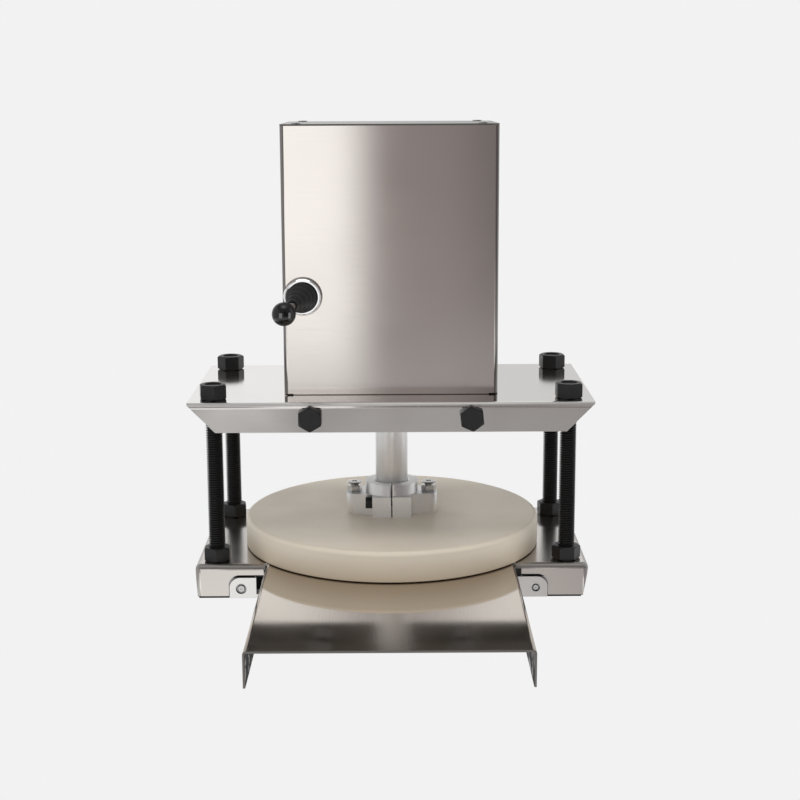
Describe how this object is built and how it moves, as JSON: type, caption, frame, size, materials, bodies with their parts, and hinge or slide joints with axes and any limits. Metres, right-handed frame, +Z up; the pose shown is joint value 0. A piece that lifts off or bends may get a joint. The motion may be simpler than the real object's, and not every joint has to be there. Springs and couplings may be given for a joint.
{
  "type": "dough press",
  "caption": "Upright electric dough press: a screw-driven ram lowers a round plastic disc onto a polished base with a forward tray, worked by a small joystick.",
  "frame": {"origin": "on the table plane, at the centre of the whole press's box", "axes": "front is -Y, where the tray and the joystick are; +X is the press's right as seen from the front; +Z is up, along the ram"},
  "size_m": [0.288, 0.349, 0.3378],
  "materials": {
    "stainless_polished": "polished stainless sheet with a fine grain",
    "stainless_satin": "satin stainless sheet",
    "stainless_dull": "mill-finish stainless sheet, dull",
    "ram_steel": "ground steel, bright",
    "black_oxide_steel": "black oxide, slightly worn on the edges",
    "mild_steel": "machined steel",
    "stainless_fasteners": "bright plated steel",
    "aluminium_plate": "milled aluminium",
    "bronze": "turned bronze",
    "food_plastic": "ivory polyethylene, matt",
    "black_rubber": "matt black rubber",
    "black_plastic": "matt black plastic",
    "black_gloss_plastic": "glossy black ball",
    "chrome_trim": "bright chrome",
    "motor_paint": "black enamel",
    "circuit_green": "solder-masked circuit board",
    "white_nylon": "white nylon",
    "supply_casing": "folded aluminium case",
    "red_plastic": "red switch rocker"
  },
  "bodies": {
    "press_frame": {"base_shell": "stainless_polished", "base_backing_plate": "black_oxide_steel", "dough_tray": "stainless_polished", "tray_brackets": "mild_steel", "tray_rivets": "stainless_fasteners", "tie_rod_front_left": "black_oxide_steel", "tie_rod_front_right": "black_oxide_steel", "tie_rod_rear_left": "black_oxide_steel", "tie_rod_rear_right": "black_oxide_steel", "base_bottom_nuts": "black_oxide_steel", "base_top_nuts": "black_oxide_steel", "beam_lock_nuts": "black_oxide_steel", "beam_top_nuts": "black_oxide_steel", "upper_beam": "stainless_polished", "beam_cross_bars": "black_oxide_steel", "flange_bolts": "black_oxide_steel", "housing_shell": "stainless_satin", "housing_screws": "stainless_fasteners", "top_cover": "stainless_dull", "top_cover_screws": "stainless_fasteners", "rear_cover": "stainless_satin", "rear_cover_screws": "stainless_fasteners", "guide_bush": "bronze", "guide_bush_screws": "black_oxide_steel", "ram_wiper": "black_rubber", "anti_rotation_rod": "ram_steel", "plate_columns": "mild_steel", "motor_plate": "aluminium_plate", "column_nuts": "stainless_fasteners", "screw_bearing": "mild_steel", "thrust_washer": "bronze", "gear_motor": "motor_paint", "motor_screws": "stainless_fasteners", "sensor_bracket": "aluminium_plate", "limit_sensors": "black_plastic", "control_board": "circuit_green", "board_spacers": "white_nylon", "power_supply": "supply_casing", "power_inlet": "black_plastic", "inlet_screws": "stainless_fasteners", "switch_frame": "black_plastic", "joystick_bezel": "chrome_trim", "joystick_boot": "black_rubber", "joystick_body": "black_plastic", "joystick_nut": "chrome_trim", "joystick_pin": "chrome_trim"},
    "ram": {"ram_shaft": "ram_steel", "shaft_clamp": "ram_steel", "clamp_bolt": "black_oxide_steel", "disc_screws": "stainless_fasteners", "disc_screw_nuts": "stainless_fasteners", "press_disc": "food_plastic", "drive_nut": "bronze"},
    "screw": {"lead_screw": "mild_steel", "screw_gear": "mild_steel", "gear_nut": "stainless_fasteners"},
    "motor_rotor": {"motor_pinion": "mild_steel"},
    "joystick": {"joystick_lever": "chrome_trim", "joystick_knob": "black_gloss_plastic"},
    "rocker": {"rocker": "red_plastic"}
  },
  "joints": [
    {"name": "screw_spin", "type": "hinge", "parent": "press_frame", "child": "screw", "pos_m": [0, 0.0645, 0.293], "axis": [0, 0, -1], "range_deg": [0, 4500]},
    {"name": "ram_slide", "type": "slide", "parent": "press_frame", "child": "ram", "axis": [0, 0, 1], "range_m": [0, 0.0501]},
    {"name": "pinion_spin", "type": "hinge", "parent": "press_frame", "child": "motor_rotor", "pos_m": [0.045, 0.0645, 0.293], "axis": [0, 0, -1], "range_deg": [-13501, 0]},
    {"name": "joystick_tilt", "type": "hinge", "parent": "press_frame", "child": "joystick", "pos_m": [-0.0624, 0.031, 0.2162], "axis": [-0.515, 0, 0.8572], "range_deg": [0, 27], "deforming": ["joystick_boot"]},
    {"name": "rocker_tilt", "type": "hinge", "parent": "press_frame", "child": "rocker", "pos_m": [0.002, 0.1265, 0.175], "axis": [-1, 0, 0], "range_deg": [0, 16]}
  ],
  "couplings": [
    {"joint": "ram_slide", "follows": "screw_spin", "m_per_rad": 0.00063662},
    {"joint": "pinion_spin", "follows": "screw_spin", "ratio": -3}
  ]
}
